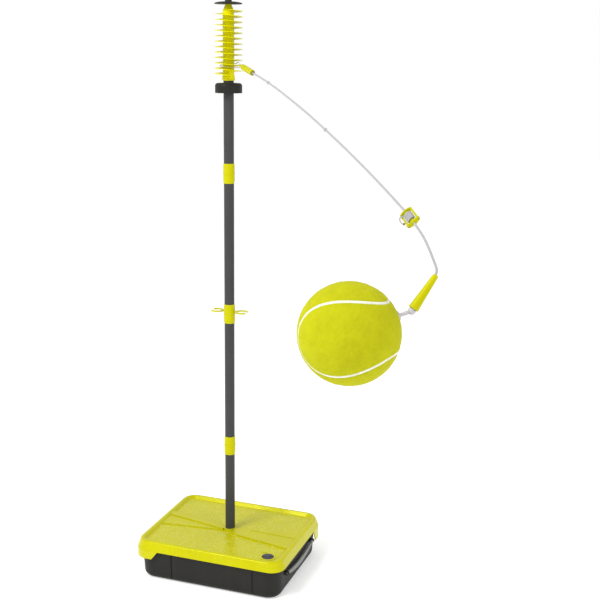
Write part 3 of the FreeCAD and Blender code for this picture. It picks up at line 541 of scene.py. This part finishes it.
def make_link():
    """The ribbed moulded link with its eye ring, and a crimp where the cord leaves it."""
    dip = math.radians(9.3)
    axis = turned((math.cos(dip), 0, -math.sin(dip)))
    side, other = basis((0, 0, 1), axis)
    verts, faces, around, tube = [], [], 48, 16
    for i in range(around):
        turn = 2 * math.pi * i / around
        out = side * math.cos(turn) + other * math.sin(turn)
        for j in range(tube):
            small = 2 * math.pi * j / tube
            verts.append(EYE + out * (0.006 + 0.0018 * math.cos(small))
                         + Vector((0, 0, 0.0018 * math.sin(small))))
    for i in range(around):
        for j in range(tube):
            a, b = i * tube + j, i * tube + (j + 1) % tube
            c, d = (i + 1) % around * tube + (j + 1) % tube, (i + 1) % around * tube + j
            faces.append((a, d, c, b))
    add_mesh("link_eye", verts, faces, MATERIALS["yellow"], "tether")

    def ribs(angle, along):
        return 1 + (0.09 * (max(0, math.cos(10 * angle)) - 0.5) if 0.0365 < along < 0.1095 else 0)

    radius, shank = 0.0080, 0.0017
    profile = [(0, 0.0072), (shank, 0.0072), (shank, 0.0275), (0.0030, 0.0281), (radius - 0.0016, 0.0288),
               (radius, 0.0305), (radius, 0.0355), (radius, 0.0367)]
    profile += [(radius, 0.0405 + 0.017 * i) for i in range(5)]
    profile += [(radius, 0.1093), (radius, 0.1105), (radius, 0.1145), (radius - 0.0012, 0.1165), (0, 0.1165)]
    lathe("link_body", profile, EYE, axis, (0, 0, 1), MATERIALS["yellow"], "tether",
          ("cord_link",), steps=144, flute=ribs)
    crimp = [(0.0025, 0.1163), (0.0066, 0.1163), (0.0066, 0.1185), (0.0056, 0.1203), (0.0044, 0.1215),
             (0.0025, 0.1215), (0.0025, 0.1163)]
    lathe("link_crimp", crimp, EYE, axis, (0, 0, 1), MATERIALS["link"], "tether", steps=40)


def make_sleeve():
    """The glossy tapered tube over the cord's end, with a rounded top and a soft lip at its foot."""
    length = 0.0758
    top, low = 0.0056, 0.0100
    profile = [(0.0027, 0.0040), (0.0027, 0.0008), (0.0036, 0.0), (0.0046, 0.0006), (0.0054, 0.0020),
               (0.00575, 0.0042)]
    profile += [(top + (low - top) * share, length * share)
                for share in (0.1, 0.25, 0.4, 0.55, 0.7, 0.85, 0.955)]
    profile += [(low + 0.0001, length - 0.0026), (low + 0.0001, length - 0.0010), (low - 0.0006, length),
                (0.0084, length), (0.0080, length - 0.0012), (0.0062, length - 0.0044),
                (0.0027, length - 0.0048), (0.0027, 0.0040)]
    lathe("sleeve_tube", profile, placed(SLEEVE_TOP), SLEEVE_AXIS, (0, 0, 1), MATERIALS["yellow"], "tether",
          ("cord_sleeve",), steps=56)


def make_ball():
    """Felt in two panels with a rubber seam sunk between them, and a socket ring where the stem enters."""
    toward = (Vector(CAMERA_PLACE) - BALL).normalized()
    right = Vector((0, 0, 1)).cross(toward).normalized()
    up = toward.cross(right)
    roll, tilt, swing = math.radians(11), math.radians(7), math.radians(18)
    along = right * math.cos(roll) + up * math.sin(roll)
    across = up * math.cos(roll) - right * math.sin(roll)
    across, toward = (across * math.cos(tilt) + toward * math.sin(tilt),
                      toward * math.cos(tilt) - across * math.sin(tilt))
    lobe = toward * math.cos(swing) - along * math.sin(swing)
    shut = -(along * math.cos(swing) + toward * math.sin(swing))
    first, second = (lobe + across).normalized(), (lobe - across).normalized()

    def seam_point(t):
        a, b = 0.75, 0.25
        x = a * math.cos(t) + b * math.cos(3 * t)
        y = a * math.sin(t) - b * math.sin(3 * t)
        z = 2 * math.sqrt(a * b) * math.sin(2 * t)
        return (first * x + second * y + shut * z).normalized()

    count = 720
    seam = [seam_point(2 * math.pi * i / count) for i in range(count)]
    line = np.array(seam)
    mesh = bmesh.new()
    bmesh.ops.create_icosphere(mesh, subdivisions=7, radius=1.0)
    mesh.verts.ensure_lookup_table()
    dirs = np.array([v.co for v in mesh.verts])
    near = np.concatenate([np.max(part @ line.T, axis=1) for part in np.array_split(dirs, 40)])
    gap = BALL_RADIUS * np.arccos(np.clip(near, -1, 1))
    half, felt = 0.0030, 0.0016
    edge = np.clip((gap - half) / 0.0022, 0, 1)
    height = felt * np.sqrt(np.clip(1 - (1 - edge) ** 2, 0, 1)) - felt
    rng = np.random.default_rng(7)
    fuzz = np.zeros(len(dirs))
    for _ in range(70):
        wave = rng.normal(size=3)
        wave *= rng.uniform(25, 95) / np.linalg.norm(wave)
        fuzz += np.sin(dirs @ wave + rng.uniform(0, 6.3))
    fuzz *= 0.00028 / fuzz.std() * 0.6
    size = BALL_RADIUS - 0.0003 + height + fuzz * edge
    place = dirs * size[:, None]
    for vert, point in zip(mesh.verts, place):
        vert.co = Vector(point) + BALL
    data = bpy.data.meshes.new("ball_panels")
    mesh.to_mesh(data)
    mesh.free()
    data.shade_smooth()
    data.materials.append(MATERIALS["felt"])
    adopt(bpy.data.objects.new("ball_panels", data), "ball", ("ball_felt",))
    verts, faces, section = [], [], 9
    for i, point in enumerate(seam):
        tangent = (seam[(i + 1) % count] - seam[i - 1]).normalized()
        sideways = point.cross(tangent).normalized()
        for j in range(section):
            share = -1 + 2 * j / (section - 1)
            rise = BALL_RADIUS - felt + 0.00095 * (1 - share ** 2) ** 0.5 - 0.0002
            verts.append(BALL + point * rise + sideways * (0.0033 * share))
    for i in range(count):
        for j in range(section - 1):
            a, b = i * section + j, (i + 1) % count * section + j
            faces.append((a, a + 1, b + 1, b))
        a, b = i * section, (i + 1) % count * section
        faces.append((a, b, b + section - 1, a + section - 1))
    soften(add_mesh("ball_seam", verts, faces, MATERIALS["seam"], "ball"), 60)
    ring = [(0.0048, 0.0955), (0.0092, 0.0955), (0.0092, 0.0975), (0.0084, 0.0990), (0.0066, 0.0996),
            (0.0052, 0.0990), (0.0048, 0.0975), (0.0048, 0.0955)]
    lathe("ball_socket", ring, BALL, -STEM_AXIS, (0, 0, 1), MATERIALS["white"], "ball",
          steps=48)


def make_stem():
    """The white stem with its collar, on the CAD line from the knuckle to the anchor in the ball."""
    profile = [(0, 0.0062), (0.0036, 0.0062), (0.0036, 0.0095), (0.0041, 0.0105), (0.0041, 0.0130),
               (0.0035, 0.0140), (0.0035, 0.0215), (0.0043, 0.0235), (0.0043, 0.0399), (0.0105, 0.0402),
               (0.0105, 0.0435), (0, 0.0435)]
    lathe("stem_turned", profile, KNUCKLE, STEM_AXIS, (0, 0, 1), MATERIALS["white"], "ball_yoke",
          ("ball_stem",), steps=40)


def make_top():
    """A shallow dome with a rolled rim, and the knurled knob that holds it."""
    base = 1.720
    dome = [(0.0030, base + 0.0005), (0.0100, base), (0.0360, base), (0.0390, base + 0.0003),
            (0.0400, base + 0.0012), (0.0396, base + 0.0024)]
    dome += [(0.039 * math.cos(t), base + 0.0022 + 0.0056 * math.sin(t)) for t in
             [math.radians(a) for a in (8, 18, 30, 42, 54, 64, 72)]]
    dome += [(0.0105, base + 0.0078), (0.0030, base + 0.0078), (0.0030, base + 0.0005)]
    lathe("cap_dome", dome, (0, 0, 0), (0, 0, 1), (1, 0, 0), MATERIALS["dark"], "top_cap",
          ("top_cap",), steps=96)
    low = base + 0.0080

    def knurl(angle, along):
        return 1 - (0.05 * max(0, math.cos(16 * angle)) ** 3 if along < low + 0.0135 else 0)

    knob = [(0, base - 0.026), (0.0020, base - 0.026), (0.0024, base - 0.024), (0.0024, low), (0.0094, low),
            (0.0100, low + 0.0008), (0.0100, low + 0.0060), (0.0099, low + 0.0110), (0.0097, low + 0.0128)]
    knob += arc_points(0.0062, low + 0.0125, 0.0034, 0, 90, 6) + [(0.0030, low + 0.01600), (0, low + 0.01600)]
    lathe("knob_turned", knob, (0, 0, 0), (0, 0, 1), (1, 0, 0), MATERIALS["grey"], "top_knob",
          ("top_knob",), steps=128, flute=knurl)


def make_filler_cap():
    """A fluted screw cap with a raised grip bar and a turned-in rim."""
    x, y = 0.181, -0.138

    def flute(angle, along):
        return 1 - (0.045 * max(0, math.cos(24 * angle)) ** 2 if along < 0.1188 else 0)

    inner = 0.0129
    profile = [(0, 0.1160), (inner, 0.1160), (inner, 0.1040), (0.0163, 0.1040), (0.0165, 0.1045),
               (0.0165, 0.1120), (0.0165, 0.1182)] + arc_points(0.0152, 0.1192, 0.0013, 0, 90, 4)
    profile += [(0.0132, 0.1205), (0.0126, 0.1198), (0.0040, 0.1198), (0, 0.1198)]
    lathe("filler_cap_turned", profile, (x, y, 0), (0, 0, 1), (1, 0, 0), MATERIALS["grey"], "filler_cap",
          ("filler_cap",), steps=192, flute=flute)
    mesh = bmesh.new()
    bmesh.ops.create_cube(mesh, size=1)
    bmesh.ops.scale(mesh, vec=(0.0245, 0.0042, 0.0027), verts=mesh.verts)
    bmesh.ops.bevel(mesh, geom=mesh.edges[:], offset=0.0009, segments=3, affect="EDGES")
    bmesh.ops.rotate(mesh, matrix=Matrix.Rotation(math.radians(20), 3, "Z"), verts=mesh.verts)
    bmesh.ops.translate(mesh, vec=(x, y, 0.1206), verts=mesh.verts)
    data = bpy.data.meshes.new("filler_grip")
    mesh.to_mesh(data)
    mesh.free()
    data.shade_smooth()
    data.materials.append(MATERIALS["grey"])
    adopt(bpy.data.objects.new("filler_grip", data), "filler_cap")


def dress_nodes():
    """Give each CAD node that still shows its own material."""
    looks = {
        "yellow": ("lower_collar", "middle_collar", "upper_collar"), "helix": ("helix_spindle",),
        "lid": ("lid",), "dark": ("base_tray", "bumper_collar", "handle_lug_front", "handle_lug_back"),
        "tank": ("ballast_tank", "tank_neck"),
        "handle": ("carry_handle",), "gasket": ("cap_gasket",), "bladder": ("ball_bladder",),
        "mast": ("mast_tube_1", "mast_tube_2", "mast_tube_3", "mast_tube_4"), "steel": ("wire_loop",),
        "white": ("knuckle",),
    }
    for look, names in looks.items():
        for name in names:
            for place in NODES[name].material_slots:
                place.material = MATERIALS[look]


# --- stage -----------------------------------------------------------------------------------------
def area_light(name, place, target, size, power):
    data = bpy.data.lights.new(name, "AREA")
    data.shape = "RECTANGLE"
    data.size, data.size_y = size
    data.energy = power
    lamp = bpy.data.objects.new(name, data)
    bpy.context.collection.objects.link(lamp)
    lamp.location = place
    lamp.rotation_euler = (Vector(target) - Vector(place)).to_track_quat("-Z", "Y").to_euler()


def make_stage():
    mesh = bmesh.new()
    bmesh.ops.create_grid(mesh, x_segments=1, y_segments=1, size=14)
    data = bpy.data.meshes.new("floor")
    mesh.to_mesh(data)
    mesh.free()
    floor = bpy.data.objects.new("floor", data)
    bpy.context.collection.objects.link(floor)
    paint = Shader("floor_paint", (0.92, 0.92, 0.92), 0.9, specular=0.1)
    paint.bsdf.inputs["Emission Color"].default_value = (1, 1, 1, 1)
    paint.bsdf.inputs["Emission Strength"].default_value = 0.32
    data.materials.append(paint.material)
    world = bpy.data.worlds.new("studio")
    world.use_nodes = True
    tree = world.node_tree
    tree.nodes["Background"].inputs["Color"].default_value = (1, 1, 1, 1)
    place = tree.nodes.new("ShaderNodeTexCoord").outputs["Generated"]
    split = tree.nodes.new("ShaderNodeSeparateXYZ")
    tree.links.new(place, split.inputs[0])
    level = tree.nodes.new("ShaderNodeMapRange")
    for key, number in (("From Min", 0.15), ("From Max", 0.6), ("To Min", 1.0), ("To Max", 0.72)):
        level.inputs[key].default_value = number
    tree.links.new(split.outputs[2], level.inputs["Value"])
    tree.links.new(level.outputs[0], tree.nodes["Background"].inputs["Strength"])
    bpy.context.scene.world = world
    area_light("key", (-1.2, -2.6, 3.6), (0.1, -0.3, 0.9), (1.4, 1.4), 95)
    area_light("side", (2.8, -1.2, 2.2), (0.2, -0.4, 0.9), (1.0, 2.0), 12)


make_camera()
MATERIALS = {
    "yellow": make_yellow(), "helix": make_helix_material(), "lid": make_lid_material(),
    "dark": make_dark(), "mast": make_mast(),
    "steel": make_steel(), "cord": make_cord_material(), "white": make_white(), "grey": make_grey(),
    "handle": make_handle_plastic(), "tank": make_tank(), "felt": make_felt(), "seam": make_seam_material(),
    "gasket": make_rubber("gasket_rubber", (0.02, 0.02, 0.02)),
    "bladder": make_rubber("ball_rubber", (0.06, 0.06, 0.05)),
    "link": make_rubber("link_plastic", (0.17, 0.155, 0.012)),
}
make_cords(MATERIALS["cord"])
make_link()
make_sleeve()
make_ball()
make_stem()
make_top()
make_filler_cap()
dress_nodes()
make_stage()
